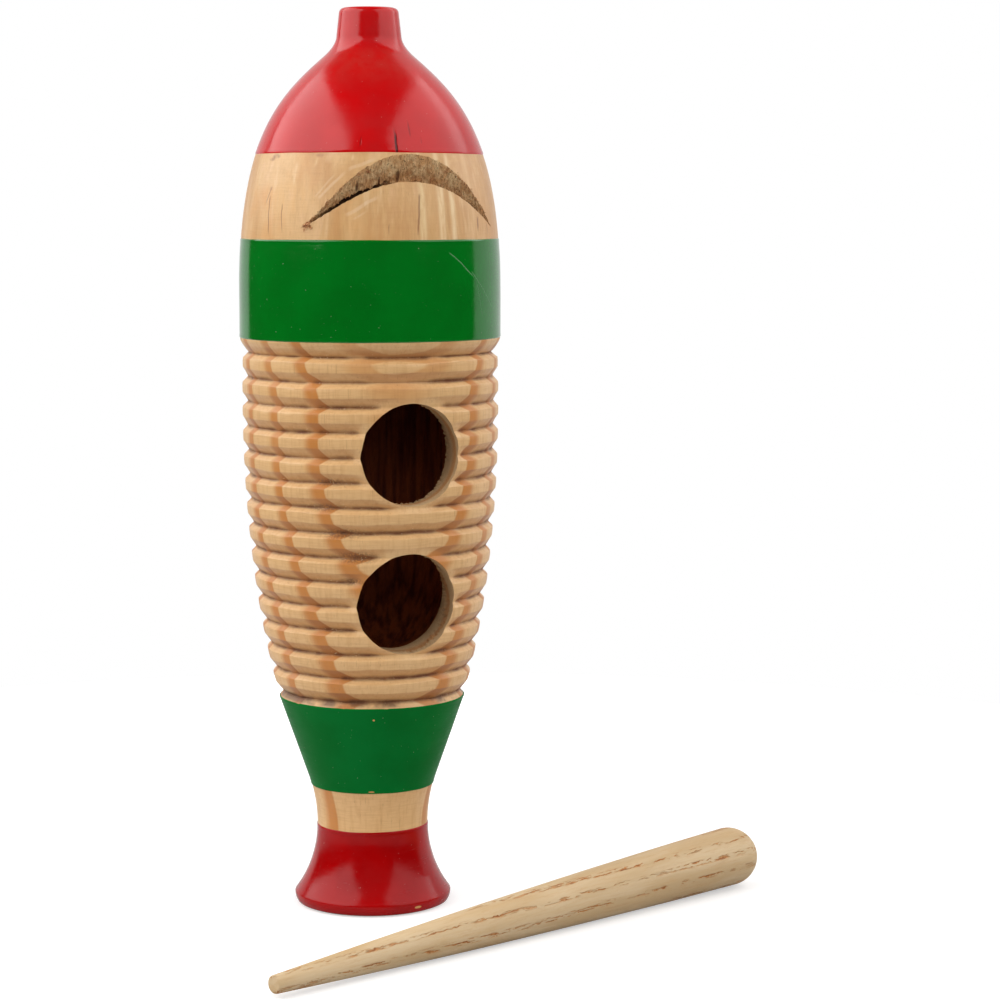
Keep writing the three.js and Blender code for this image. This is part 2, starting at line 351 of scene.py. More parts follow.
def make_head_wood():
    outline = head_outline()
    inside = np.array([
        (0, CAVITY_TOP_Z), (CAVITY_RADIUS - 3, CAVITY_TOP_Z),
        (CAVITY_RADIUS - 0.9, CAVITY_TOP_Z - 0.9), (CAVITY_RADIUS, CAVITY_TOP_Z - 3),
        (CAVITY_RADIUS, JOINT_Z), (CAVITY_RADIUS, SPIGOT_END_Z),
        (SPIGOT_RADIUS, SPIGOT_END_Z), (SPIGOT_RADIUS, JOINT_Z + GLUE_GAP / 3),
        (BAND_RADIUS, JOINT_Z + GLUE_GAP / 3)])
    radius, height = spread(np.vstack([inside, outline[1:]]))
    bare = smooth(height, JOINT_Z, BAND_TOP_Z) * (radius > CAVITY_RADIUS + 0.5)
    radius = radius + bare * 0.05 * waves(AROUND[None, :], height, 26, 9, 21)
    piece = turned("head_wood", radius, height)
    cut(piece, mouth_cutter())
    return piece


def cut_height(cut_line, depth, across):
    """Height of one of the mouth's saw cuts, this far out from its deepest line and sideways."""
    slope, growth, tilt = cut_line
    return (MOUTH_APEX_Z + slope * depth + growth * depth ** 2
            + tilt * across * smooth(depth, 0, 4))


def torn_gap(depth, across):
    """Lift of the upper cut deep inside its left half, where the wood broke away."""
    ragged = 0.15 * waves(across / 35, 0 * depth, 4, 14, 33)
    edge = TORN_DEPTH - TORN_CURVE * across ** 2 + ragged
    left = smooth(across, -27, -22) * (1 - smooth(across, -9, -2))
    return 2.2 * (1 - smooth(depth, edge - 0.5, edge)) * left


def mouth_cutter():
    """A wedge between two rough saw cuts. They meet on a straight line, which runs in the wall
    at both sides and through the bore in the middle."""
    reach, half_width, deep, wide = 19, 40, 76, 230
    run = np.linspace(0, 1, deep + 1) * reach
    side = np.linspace(-half_width, half_width, wide + 1)
    depth, across = np.meshgrid(run, side, indexing="ij")
    rng = np.random.default_rng(31)
    rough = rng.normal(0, 0.2, depth.shape) + 0.3 * waves(across / 35, depth, 2.4, 14, 32)
    rough = rough * smooth(depth, 0, 2.5)
    lower = cut_height(MOUTH_LOWER, depth, across) + 0.4 * rough
    upper = cut_height(MOUTH_UPPER, depth, across) + rough + torn_gap(depth, across)
    lower, upper = (np.stack([across, -MOUTH_APEX - depth, z], axis=-1) for z in (lower, upper))
    grid = np.concatenate([lower, upper[:0:-1]])
    rows, columns = grid.shape[:2]
    ends = np.arange(rows) * columns
    faces = quads([*range(rows), 0], columns, wide)
    faces += [ends.tolist(), (ends[::-1] + wide).tolist()]
    return face_outwards(mesh_object("mouth_cutter", grid.reshape(-1, 3), faces))


# ---- Paint ----

class Skin:
    """The wood's outline as one curve, so that a coat of paint can lie on it."""

    def __init__(self, points):
        steps = np.hypot(*np.diff(points, axis=0).T)
        self.length = np.concatenate([[0], np.cumsum(steps)])
        tangent = np.gradient(points, self.length, axis=0)
        tangent /= np.hypot(*tangent.T)[:, None]
        self.radius, self.height = points.T
        self.out, self.up = tangent[:, 1], -tangent[:, 0]

    def at_height(self, z):
        """How far along the skin this height is."""
        return np.interp(z, self.height, self.length)

    def offset(self, where, lift):
        """Radius and height of places along the skin, lifted off it by this much."""
        r, z, out, up = (np.interp(where, self.length, values)
                         for values in (self.radius, self.height, self.out, self.up))
        return r + out * lift, z + up * lift


def coat_lift(low_gap, high_gap, bead):
    """Thickness of the paint at these distances from its two edges, with a thicker rim."""
    gap = np.minimum(low_gap, high_gap)
    rounded = np.sqrt(np.clip(1 - (1 - np.clip(gap / 0.3, 0, 1)) ** 2, 0, 1))
    return PAINT * rounded * (1 + bead * np.exp(-((gap - 0.55) / 0.35) ** 2))


def make_coat(name, skin, low, high, rows, bead, ripple, seed):
    """A closed coat between two edges, given as a position on the skin for each column."""
    share = np.linspace(0, 1, rows)
    share = (share + 0.5 * (1 - np.cos(share * math.pi))) / 2
    where = low + (high - low) * share[:, None]
    lift = coat_lift(where - low, high - where, bead)
    lift = lift + ripple * waves(AROUND[None, :], where, 9, 12, seed) * smooth(lift, 0.08, 0.13)
    outer = skin.offset(where, lift)
    inner_where = high + (low - high) * np.linspace(0, 1, max(4, rows // 4))[:, None]
    inner = skin.offset(inner_where, -PAINT_ROOT)
    radius, height = np.hstack([outer, inner])
    return face_outwards(turned(name, radius, height, loop=True))


def make_cap_coat(name, skin, low, rows):
    """The coat over the nose, closed over the top of the knob."""
    high = np.full(COLUMNS, skin.length[-1])
    where = low + (high - low) * np.linspace(0, 1, rows)[:, None] ** 1.05
    outer = skin.offset(where, coat_lift(where - low, np.full(where.shape, 9), 0.35))
    inner = skin.offset(high + (low - high) * np.linspace(0, 1, 24)[:, None], -PAINT_ROOT)
    for (radius, height), top in ((outer, -1), (inner, 0)):
        radius[top] = 0
        height[top] = height[top].mean()
    return face_outwards(turned(name, *np.hstack([inner, outer])))


def edge_heights(base, wave, seed, notch=0, notch_seed=0):
    """Height of a hand-painted edge in every column."""
    slow = waves(AROUND, 0, 90, 6, seed)
    fine = waves(AROUND, 0, 9, 12, seed + 1)
    chips = np.clip(waves(AROUND, 0, 5, 14, notch_seed) - 0.7, 0, 1)
    return base + wave * slow + 0.22 * wave * fine - notch * chips


def make_paint():
    """The four coats by name. Each lies on its own stretch of the wood's outline."""
    rim = TAIL_RIM_RADIUS
    low_skin = Skin(np.vstack([foot_outline(60), tail_outline(60)]))
    rim_turn = quadratic((rim, TAIL_RIM_Z), (rim + 0.12, TAIL_RIM_Z + 0.35),
                         (rim - 0.35, TAIL_RIM_Z + 0.55), 8)
    tail_skin = Skin(np.vstack([tail_outline(60), rim_turn[1:]]))
    shoulder = [(BAND_RADIUS - 0.12, SHOULDER_Z - 0.4), (BAND_RADIUS, SHOULDER_Z + 0.6)]
    band = np.linspace((BAND_RADIUS, SHOULDER_Z + 4), (BAND_RADIUS, JOINT_Z), 12)[:-1]
    band_skin = Skin(np.vstack([shoulder, band, head_outline()]))
    nose_skin = Skin(head_outline())
    foot_edge = low_skin.at_height(edge_heights(FOOT_EDGE_Z, 0.12, 41))
    tail_low = tail_skin.at_height(edge_heights(TAIL_LOW_Z, 0.14, 43))
    tail_top = tail_skin.at_height(edge_heights(TAIL_TOP_Z, 0.1, 45, 0.5, 46))
    band_low = band_skin.at_height(edge_heights(BAND_LOW_Z, 0.16, 48))
    band_top = band_skin.at_height(edge_heights(BAND_TOP_Z, 0.2, 50))
    nose_edge = nose_skin.at_height(edge_heights(NOSE_EDGE_Z, 0.12, 52))
    foot_start = np.full(COLUMNS, 2)
    coats = (make_coat("foot_red_paint", low_skin, foot_start, foot_edge, 70, 0.5, 0.012, 42),
             make_coat("tail_green_paint", tail_skin, tail_low, tail_top, 60, 0.4, 0.01, 47),
             make_coat("band_green_paint", band_skin, band_low, band_top, 60, 0.3, 0.004, 51),
             make_cap_coat("nose_red_paint", nose_skin, nose_edge, 110))
    return {coat.name: coat for coat in coats}


# ---- Scraper ----

SCRAPER_RADII = (2.55, 8.95)  # at the thin end and at the dome
SCRAPER_SWELL = 0.86  # how far the middle bulges past a straight taper


def scraper_frame():
    """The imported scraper's thin end, its directions across and along, and its length, in mm."""
    points = corners(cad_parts["scraper"])
    middle = points.mean(axis=0)
    _, _, directions = np.linalg.svd(points - middle, full_matrices=False)
    axis = directions[0] * np.sign(directions[0][0])
    reach = (points - middle) @ axis
    side = np.cross([0, 0, 1], axis)
    side /= np.linalg.norm(side)
    return middle + axis * reach.min(), (side, np.cross(axis, side), axis), np.ptp(reach)


def make_scraper():
    start, directions, full = scraper_frame()
    thin, thick = SCRAPER_RADII
    length = full - thick
    columns, body_rows = 120, 190
    angle = np.arange(columns)[None, :] * 2 * math.pi / columns
    share = np.linspace(0, 1, body_rows)[1:, None]
    profile = thin + (thick - thin) * share + SCRAPER_SWELL * 4 * share * (1 - share)
    dome_turn = np.linspace(0, math.pi / 2, 26)[1:, None]
    dome_r = thick * np.cos(dome_turn) ** 0.94
    dome_s = length + thick * np.sin(dome_turn)
    chamfer = quadratic((thin - 0.45, 0), (thin + 0.01, 0.02), (thin + 0.03, 0.6), 6)
    radius = np.vstack([[[0]], chamfer[:, :1], profile, dome_r])
    s = np.vstack([[[0]], chamfer[:, 1:], share * length, dome_s])
    radius, s = (np.repeat(rows, columns, axis=1) for rows in (radius, s))
    uneven = 0.10 * waves(angle, s, 46, 9, 61, 1.6) + 0.03 * waves(angle, s, 11, 12, 62, 2.5)
    radius = radius * (1 + uneven / 9) * (radius > 0)
    radius[-1] = 0
    piece = turned("scraper_wood", radius, s)
    placed = start + corners(piece) @ np.array(directions)
    piece.data.vertices.foreach_set("co", (placed * MM).ravel())
    piece.data.update()
    return face_outwards(piece)


# ---- Loose fibres ----

def make_fibres(name, roots, directions, lengths, widths, seed, material):
    """Small bent slivers of the guiro's wood, each a three-sided tapering spike."""
    rng = np.random.default_rng(seed)
    verts, faces = [], []
    for root, direction, length, width in zip(roots, directions, lengths, widths):
        direction = direction / np.linalg.norm(direction)
        side = np.cross(direction, rng.normal(size=3))
        side /= np.linalg.norm(side)
        other = np.cross(direction, side)
        bend = side * rng.normal(0, 0.35)
        first = len(verts)
        for step, shrink in ((0, 1), (0.5, 0.8)):
            centre = root + direction * length * step + bend * length * step ** 2
            for turn in (0, 2.1, 4.2):
                off = side * math.cos(turn) + other * math.sin(turn)
                verts.append(centre + width * shrink * off)
        verts.append(root + direction * length + bend * length)
        for a, b in ((0, 1), (1, 2), (2, 0)):
            faces.append((first + a, first + b, first + 3 + b, first + 3 + a))
            faces.append((first + 3 + a, first + 3 + b, first + 6))
        faces.append((first + 2, first + 1, first))
    piece = face_outwards(mesh_object(name, verts, faces))
    piece.data.materials.append(material)
    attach(piece, "guiro")
    finish_shading(piece, 60)


# ---- Materials ----

class Field:
    """A number or colour that varies over a surface, made by shader nodes."""

    def __init__(self, graph, socket):
        self.graph = graph
        self.socket = socket

    def __add__(self, other):
        return self.graph.math("ADD", self, other)

    def __sub__(self, other):
        return self.graph.math("SUBTRACT", self, other)

    def __rsub__(self, other):
        return self.graph.math("SUBTRACT", other, self)

    def __mul__(self, other):
        return self.graph.math("MULTIPLY", self, other)

    def __truediv__(self, other):
        return self.graph.math("DIVIDE", self, other)

    __radd__ = __add__
    __rmul__ = __mul__


class Nodes:
    """The shader nodes of a material or of the world."""

    def __init__(self, owner):
        owner.use_nodes = True
        self.tree = owner.node_tree
        self.tree.nodes.clear()

    def node(self, kind, inputs=None, **settings):
        """A new node. inputs gives its inputs by name or number, as numbers or as links."""
        made = self.tree.nodes.new(kind)
        for key, value in settings.items():
            setattr(made, key, value)
        for key, value in (inputs or {}).items():
            self.put(made.inputs[key], value)
        return made

    def put(self, socket, value):
        if isinstance(value, Field):
            value = value.socket
        if isinstance(value, bpy.types.NodeSocket):
            self.tree.links.new(value, socket)
        else:
            socket.default_value = value

    def combine(self, kind, values, output=0, **settings):
        """A field made by one node whose first inputs are these values."""
        made = self.node(kind, dict(enumerate(values)), **settings)
        return Field(self, made.outputs[output])

    def math(self, operation, *values):
        return self.combine("ShaderNodeMath", values, operation=operation)

    def step(self, value, low, high, start=0, end=1):
        """Goes smoothly from start to end while the value goes from low to high."""
        return self.combine("ShaderNodeMapRange", (value, low, high, start, end),
                            interpolation_type="SMOOTHSTEP")

    def seen(self):
        """1 for what the camera sees directly and 0 for reflections and light."""
        return self.combine("ShaderNodeLightPath", (), "Is Camera Ray")


class Graph(Nodes):
    """A material's nodes. Places and sizes are in millimetres in the row frame."""

    def __init__(self, name):
        self.material = bpy.data.materials.new(name)
        super().__init__(self.material)
        coordinates = self.node("ShaderNodeTexCoord").outputs
        scale = self.node("ShaderNodeVectorMath", operation="SCALE")
        self.put(scale.inputs[0], coordinates["Object"])
        self.put(scale.inputs["Scale"], 1 / MM)
        self.place = scale.outputs[0]
        split = self.node("ShaderNodeSeparateXYZ", {0: self.place}).outputs
        self.x, self.y, self.z = (Field(self, socket) for socket in split)
        self.tilt = self.combine("ShaderNodeSeparateXYZ", [coordinates["Normal"]], 2)

    @cached_property
    def angle(self):
        """Angle round the axis from the finger holes, in degrees."""
        return self.math("ARCTAN2", self.x, self.y * -1) * (180 / math.pi)

    @cached_property
    def radius(self):
        """Distance from the axis."""
        return self.length(self.x, self.y)

    def length(self, u, v):
        return self.math("SQRT", u * u + v * v)

    def fall(self, value, low, high):
        """1 below low and 0 above high."""
        return self.step(value, low, high, 1, 0)

    def vector(self, x, y, z):
        return self.combine("ShaderNodeCombineXYZ", (x, y, z)).socket

    def mix(self, share, first, second):
        made = self.node("ShaderNodeMix", {0: share, 6: first, 7: second}, data_type="RGBA")
        return Field(self, made.outputs[2])

    def layered(self, colour, layers):
        """Lays tints over a colour. A layer is its pattern, the value of the pattern where it
        starts and where it is full, its strength and its tint."""
        for pattern, start, full, strength, tint in layers:
            colour = self.mix(self.step(pattern, start, full) * strength, colour, srgb(*tint))
        return colour

    def noise(self, vector, size, detail=2, rough=0.5):
        made = self.node("ShaderNodeTexNoise", {"Vector": vector, "Scale": 1 / size,
                                                "Detail": detail, "Roughness": rough})
        return Field(self, made.outputs["Fac"])

    def stretched(self, size, grain, shift=0, detail=2, rough=0.5):
        """Noise drawn out along the guiro's axis, as wood grain is."""
        place = self.vector(self.x + shift, self.y, self.z / grain)
        return self.noise(place, size, detail, rough)

    def lathe_lines(self, size, length=14):
        """Noise drawn out round the guiro, as the marks of turning are."""
        place = self.vector(self.x / length, self.y / length, self.z)
        return self.noise(place, size, 3, 0.6)

    def spot(self, angle, z, radius, across, along, soft):
        """1 inside an ellipse on the surface and 0 outside, with sizes in mm."""
        u = (self.angle - angle) * (math.pi / 180 * radius / across)
        v = (self.z - z) / along
        return self.fall(self.length(u, v), 1 - soft, 1 + soft)

    def scratch(self, start, end, radius, width):
        """1 on a thin line between two places on the surface, each an angle and a height."""
        per_degree = math.pi / 180 * radius
        run = ((end[0] - start[0]) * per_degree, end[1] - start[1])
        length = math.hypot(*run)
        u = (self.angle - start[0]) * per_degree
        v = self.z - start[1]
        wave = (self.noise(self.place, 6) - 0.5) * 1.2
        off = self.math("ABSOLUTE", (u * run[1] - v * run[0]) / length + wave)
        along = (u * run[0] + v * run[1]) / length
        ends = self.step(along, 0, 1.5) * self.fall(along, length - 3, length)
        return self.fall(off, width * 0.4, width) * ends

    def bump(self, height, distance_mm):
        return self.node("ShaderNodeBump", {"Distance": distance_mm * MM,
                                            "Height": height}).outputs[0]

    def finish(self, colour, roughness, normal=None, coat=0, coat_roughness=0.1, specular=0.5,
               glow=None):
        inputs = {"Base Color": colour, "Roughness": roughness, "Specular IOR Level": specular,
                  "Coat Weight": coat, "Coat Roughness": coat_roughness}
        if normal is not None:
            inputs["Normal"] = normal
        if glow is not None:
            inputs.update({"Emission Color": (1, 1, 1, 1), "Emission Strength": glow})
        shader = self.node("ShaderNodeBsdfPrincipled", inputs)
        self.node("ShaderNodeOutputMaterial", {"Surface": shader.outputs[0]})
        return self.material


WOOD_RADIUS = 36.5  # for sizes on the bare wood's surface
EARLYWOOD, LATEWOOD = srgb(224, 180, 124), srgb(194, 114, 26)
# Deep in the grooves: painted shade, with some stain.
GROOVE_SHADE_AND_STAIN = srgb(116, 68, 38)
# Torn, fuzzy wood in the grooves beside the finger holes: angle, height, half width, half height.
TORN_PATCHES = [(-33, 117, 6, 1.3), (-26, 110, 5.5, 1.5), (-41, 124.6, 4, 1),
                (-38, 132, 4.5, 0.9), (-29, 102.8, 3, 1)]
# Knots and streaks in the head's bare wood: angle, height, half width, half height, colour, share.
HEAD_MARKS = [(-71.3, 225.9, 1.6, 0.6, (134, 76, 40), 0.85),
              (-74, 225.1, 1.3, 0.45, (150, 92, 52), 0.7),
              (-43.5, 226.1, 1.2, 0.5, (160, 100, 58), 0.6),
              (-70.5, 216.6, 0.6, 0.6, (140, 84, 46), 0.7),
              (-73, 214, 3.6, 3.4, (214, 150, 84), 0.55),
              (-58, 214, 7, 5, (228, 176, 108), 0.45),
              (-12, 206, 7, 8, (206, 150, 92), 0.5),
              (-26, 206, 3, 6, (232, 190, 134), 0.5),
              (24, 214, 22, 30, (202, 148, 92), 0.55),
              (4.9, 209, 1, 18, (236, 206, 152), 0.8),
              (9.5, 211, 1.6, 18, (212, 164, 104), 0.6),
              (14.6, 211, 1.1, 18, (238, 206, 156), 0.9),
              (17.8, 211, 0.9, 18, (200, 150, 92), 0.7),
              (20.9, 211, 0.9, 18, (238, 208, 160), 0.9),
              (27, 211, 2.4, 18, (204, 152, 98), 0.5),
              (33, 211, 1.4, 18, (230, 190, 138), 0.6),
              (128, 219, 1.5, 0.9, (140, 84, 46), 0.8),
              (-150, 211, 3.6, 9, (208, 150, 88), 0.5)]
# Pale diagonal marks beside the mouth: start and end as angle and height, width, share.
HEAD_PALE_MARKS = [((-43, 213.6), (-29.2, 222), 0.6, 0.28),
                ((-29.6, 221.8), (-14.3, 225.6), 0.7, 0.25),
                ((-45, 214), (-34, 221.5), 0.4, 0.2),
                ((-30, 208.6), (-14, 214.6), 0.7, 0.3),
                ((-27, 207.4), (-19, 210.6), 0.4, 0.2)]
# Fine dark cracks in the same wood, given in the same way.
HEAD_CRACKS = [((-70.5, 215), (-69.2, 202.4), 0.26, 0.7),
               ((-61.6, 212.8), (-60.9, 203.4), 0.24, 0.6),
               ((3.9, 215.6), (1.8, 202.4), 0.42, 0.6), ((37.4, 209), (36.6, 203.4), 0.5, 0.65),
               ((45.2, 207), (45, 202.6), 0.3, 0.6), ((-10.6, 207), (-10.9, 202.6), 0.2, 0.5),
               ((-73.2, 212), (-68.8, 218), 0.3, 0.5), ((-5.8, 224), (-5.6, 227), 0.5, 0.9),
               ((112, 226), (111.5, 204), 0.3, 0.6),
               ((171, 219), (172.5, 203), 0.3, 0.6),
               ((-139, 224), (-138, 207), 0.25, 0.5)]
# Small knots in the mouth's upper cut: x, height, half width, half height.
MOUTH_KNOTS = [(-14.5, 217.2, 0.5, 1.6), (-8, 218.6, 0.35, 1.6), (-2.5, 220, 0.6, 1.8)]


def growth_rings(g):
    """0 in the pale spring wood and 1 in the dark autumn wood of each ring."""
    inward = g.x * RING_NORMAL[0] + g.y * RING_NORMAL[1]
    gap = (g.stretched(34, 3, 5) - 0.5) * 1.6 + (g.stretched(7, 3, 9) - 0.5) * 1
    gap = gap + RING_DEPTH - inward
    for low, high, shift in RING_BENDS:
        gap = gap + g.step(g.z, low, high, 0, shift)
    phase = gap / (gap * RING_GROWTH + RING_SPACING)
    share = g.math("FRACT", phase + 0.5) - 0.5
    outermost = g.step(phase, -0.8, -0.6, 0.5, 1)
    return g.step(share, -0.035, 0.01) * g.fall(share, 0.14, 0.36) * outermost


def bare_wood():
    """The body's turned wood: painted shade with some stain in its grooves, painted shade under its
    ridges.
    """
    g = Graph("bare_pine")
    late = growth_rings(g)
    level = (g.z - BELLY_Z) / BELLY_HALF_LENGTH
    crest = g.math("SQRT", 1 - level * level) * BELLY_RADIUS
    on_ridges = g.step(g.z, TAIL_RIM_Z, TAIL_RIM_Z + 1) * g.fall(g.z, 170, 171)
    in_groove = g.step(crest - g.radius, 1.1, 2) * on_ridges
    # Faces that turn downwards on the ridges, for painted shade.
    painted_underside_shade = g.fall(g.tilt, -0.75, -0.3) * on_ridges
    patches = g.stretched(22, 2.5, 3, 3)
    striations = g.stretched(1.1, 16, 0, 3, 0.6)
    hairs = g.stretched(0.4, 26, 40, 2)
    lathe = g.lathe_lines(0.45)
    fuzz = g.noise(g.place, 0.5, 4, 0.7)
    colour = g.mix(late * g.step(patches, 0.25, 0.75, 0.75, 1), EARLYWOOD, LATEWOOD)
    colour = g.layered(colour, [(striations, 0.42, 0.75, 0.30, (190, 130, 70)),
                                (hairs, 0.62, 0.74, 0.30, (150, 96, 48)),
                                (lathe, 0.40, 0.70, 0.22, (184, 128, 74)),
                                (patches, 0.45, 0.80, 0.30, (232, 194, 142))])
    # Painted shade: the undersides of the ridges darker and browner, most in the autumn wood.
    colour = g.mix(painted_underside_shade * 0.45, colour, srgb(186, 122, 62))
    colour = g.mix(late * painted_underside_shade * 0.6, colour, srgb(150, 88, 44))
    # Darker deep in the grooves: mostly painted shade, with some stain.
    groove_shade_and_stain = g.step(g.stretched(5, 1, 70, 3), 0.3, 0.7, 0.55, 1)
    colour = g.mix(in_groove * groove_shade_and_stain, colour, GROOVE_SHADE_AND_STAIN)
    for angle, z, across, along in TORN_PATCHES:
        patch = g.spot(angle, z, WOOD_RADIUS, across, along, 0.7) * g.step(fuzz, 0.40, 0.56)
        colour = g.mix(patch * 0.8, colour, srgb(104, 66, 38))
    # Dark brown line in the groove just above the tail's rim: partly stain, partly painted shade.
    rim_stain_and_shade = g.fall(g.z, 65.8, 67.4) * on_ridges
    rim_stain_and_shade = rim_stain_and_shade * g.step(g.stretched(11, 1, 21, 4), 0.45, 0.58)
    colour = g.mix(rim_stain_and_shade * 0.75, colour, srgb(92, 52, 22))
    tear = g.step(fuzz, 0.60, 0.70) * in_groove
    colour = g.mix(tear * 0.6, colour, srgb(226, 192, 148))
    height = striations * 0.3 + hairs * 0.3 + lathe * 0.5 + late * 0.5 + fuzz * in_groove * 1.4
    roughness = g.step(striations, 0.3, 0.7, 0.38, 0.52) + in_groove * 0.2
    return g.finish(colour, roughness, g.bump(height, 0.11), coat=0.12, coat_roughness=0.3)


def head_wood():
    """The head's bare wood, with its knots, streaks, pale diagonal marks and fine cracks."""
    g = Graph("head_pine")
    striations = g.stretched(0.7, 22, 12, 3, 0.6)
    hairs = g.stretched(0.3, 26, 30, 2)
    blotch = g.stretched(6, 2.2, 33, 3)
    lathe = g.lathe_lines(0.5)
    colour = g.layered(srgb(222, 178, 122), [
        (g.stretched(9, 9, 0, 3), 0.42, 0.68, 0.80, (198, 144, 84)),
        (striations, 0.42, 0.72, 0.22, (186, 132, 76)),
        (g.stretched(2.6, 30, 60), 0.60, 0.72, 0.50, (236, 204, 156)),
        (hairs, 0.62, 0.72, 0.22, (150, 98, 52)),
        (blotch, 0.50, 0.72, 0.45, (216, 156, 92)),
        (blotch, 0.42, 0.28, 0.35, (232, 190, 146)),
        (lathe, 0.45, 0.70, 0.16, (190, 138, 90))])
    breaks = g.step(g.stretched(1.3, 7, 90, 3), 0.32, 0.6, 0.25, 1)
    for angle, z, across, along, tint, share in HEAD_MARKS:
        mark = g.spot(angle, z, WOOD_RADIUS, across, along, 0.6) * breaks
        colour = g.mix(mark * share, colour, srgb(*tint))
    for start, end, width, share in HEAD_PALE_MARKS:
        pale_mark = g.scratch(start, end, WOOD_RADIUS, width)
        pale_mark = pale_mark * g.step(striations, 0.3, 0.6, 0.5, 1)
        colour = g.mix(pale_mark * share, colour, srgb(244, 220, 186))
    for start, end, width, share in HEAD_CRACKS:
        crack = g.scratch(start, end, 37, width)
        colour = g.mix(crack * share, colour, srgb(132, 74, 36))
    height = striations * 0.6 + hairs * 0.5 + lathe * 0.5
    roughness = g.step(striations, 0.3, 0.7, 0.34, 0.46)
    return g.finish(colour, roughness, g.bump(height, 0.09), coat=0.15, coat_roughness=0.25)


def torn_wood():
    """Rough end grain on the saw cuts of the mouth."""
    g = Graph("sawn_end_grain")
    coarse = g.noise(g.place, 3.4, 4, 0.65)
    fine = g.noise(g.place, 0.45, 4, 0.7)
    pores = g.noise(g.vector(g.x, g.y * 0.7, g.z), 0.8, 2)
    hatch = g.noise(g.vector(g.x, g.y, g.z / 7), 0.5, 3, 0.6)
    colour = g.layered(srgb(228, 174, 118), [(coarse, 0.35, 0.65, 1, (248, 212, 158)),
                                             (hatch, 0.42, 0.66, 0.7, (168, 106, 62)),
                                             (fine, 0.50, 0.75, 0.5, (232, 192, 142)),
                                             (pores, 0.64, 0.71, 0.7, (96, 58, 30))])
    # The deep slit at the left of the upper cut is painted near black: painted shade on top of the
    # real gap.
    depth = g.y * -1 - MOUTH_APEX
    edge = g.x * g.x * -TORN_CURVE + TORN_DEPTH + (g.noise(g.place, 1.6, 3) - 0.5) * 0.35
    gap = g.fall(depth - edge, -0.25, 0.1)
    gap = gap * g.step(g.x, -26, -19) * g.fall(g.x, -9, -2)
    colour = g.mix(gap * 0.93, colour, srgb(40, 22, 12))
    for x, z, across, along in MOUTH_KNOTS:
        away = g.length((g.x - x) / across, (g.z - z) / along)
        colour = g.mix(g.step(away, 0.5, 1.3, 0.8, 0), colour, srgb(92, 50, 22))
    height = fine * 0.8 + coarse * 0.6 + pores * 0.5 + hatch * 0.6
    return g.finish(colour, 0.85, g.bump(height, 0.7), specular=0.3)


def drilled_wood():
    """The wall of a finger hole, cut with a drill."""
    g = Graph("drilled_wood")
    fine = g.noise(g.place, 0.5, 4, 0.65)
    drill_marks = g.noise(g.vector(g.x * 0.25, g.y * 3, g.z * 0.25), 1.4, 3)
    colour = g.mix(growth_rings(g) * 0.7, srgb(206, 170, 126), srgb(188, 122, 62))
    # The hole's wall darkens deeper in, towards the bore: painted shade.
    colour = g.layered(colour, [(fine, 0.45, 0.75, 0.4, (146, 108, 74)),
                                (g.y, -34, -28, 0.3, (124, 88, 58))])
    return g.finish(colour, 0.75, g.bump(fine + drill_marks, 0.25), specular=0.3)


def bore_wood():
    """The dark inside of the bore."""
    g = Graph("bore_wood")
    streaks = g.stretched(2.2, 14, 0, 3)
    fine = g.noise(g.vector(g.x, g.y, g.z * 0.3), 0.7, 3)
    colour = g.mix(g.step(streaks, 0.35, 0.7), srgb(150, 72, 30), srgb(96, 36, 16))
    return g.finish(colour, 0.7, g.bump(fine, 0.3), specular=0.3)


def lacquer(name, colour, deep, satin, gloss=0.5, scratches=(), chips=(), cracks=(), brushed=0,
            sheen_veil=None):
    """Glossy paint over turned wood, with dust in it.

    scratches, cracks and chips are lists of places, brushed is the strength of the lines that
    the brush left, and veil is a patch of another tint between two heights: painted sheen with
    some dust in it."""
    g = Graph(name)
    peel = g.noise(g.place, 1.6, 3, 0.55)
    flow = g.noise(g.vector(g.x * 0.5, g.y * 0.5, g.z * 3), 5, 2)
    dust = g.step(g.noise(g.place, 0.55, 1), 0.77, 0.82)
    lines = g.lathe_lines(0.5, 12)
    paint = g.mix(g.step(g.noise(g.place, 14, 3), 0.3, 0.7), srgb(*colour), srgb(*deep))
    paint = g.mix(dust * 0.30, paint, srgb(235, 215, 205))
    if sheen_veil is not None:
        low, high, end, tint = sheen_veil
        # A mottled paler tint high up: partly painted sheen, partly dust.
        sheen_and_dust = g.step(g.z, low, high) * g.fall(g.z, end - 3, end)
        sheen_and_dust = sheen_and_dust * g.step(g.noise(g.place, 4, 5, 0.65), 0.3, 0.65, 0.15, 0.5)
        paint = g.mix(sheen_and_dust, paint, srgb(*tint))
    roughness = g.step(g.noise(g.place, 7, 4, 0.6), 0.3, 0.75, satin, satin + 0.08)
    roughness = roughness + g.step(lines, 0.35, 0.7) * brushed
    height = peel * 0.5 + flow * 0.8 + dust * 1.6 + lines * (4 * brushed)
    if scratches:
        mark = 0
        for start, end, radius, width in scratches:
            mark = g.math("MAXIMUM", g.scratch(start, end, radius, width), mark)
        paint = g.mix(mark * 0.10, paint, srgb(190, 220, 190))
        height = height - mark * 0.8
        roughness = roughness + mark * 0.3
    for start, end, radius, width, share in cracks:
        crack = g.scratch(start, end, radius, width) * share
        paint = g.mix(crack, paint, srgb(60, 4, 4))
        height = height - crack * 2
    for angle, z, radius, across, along in chips:
        bare = g.spot(angle, z, radius, across, along, 0.12)
        paint = g.mix(bare, paint, srgb(206, 150, 92))
        height = height - bare * 3
    return g.finish(paint, roughness, g.bump(height, 0.035), specular=gloss)


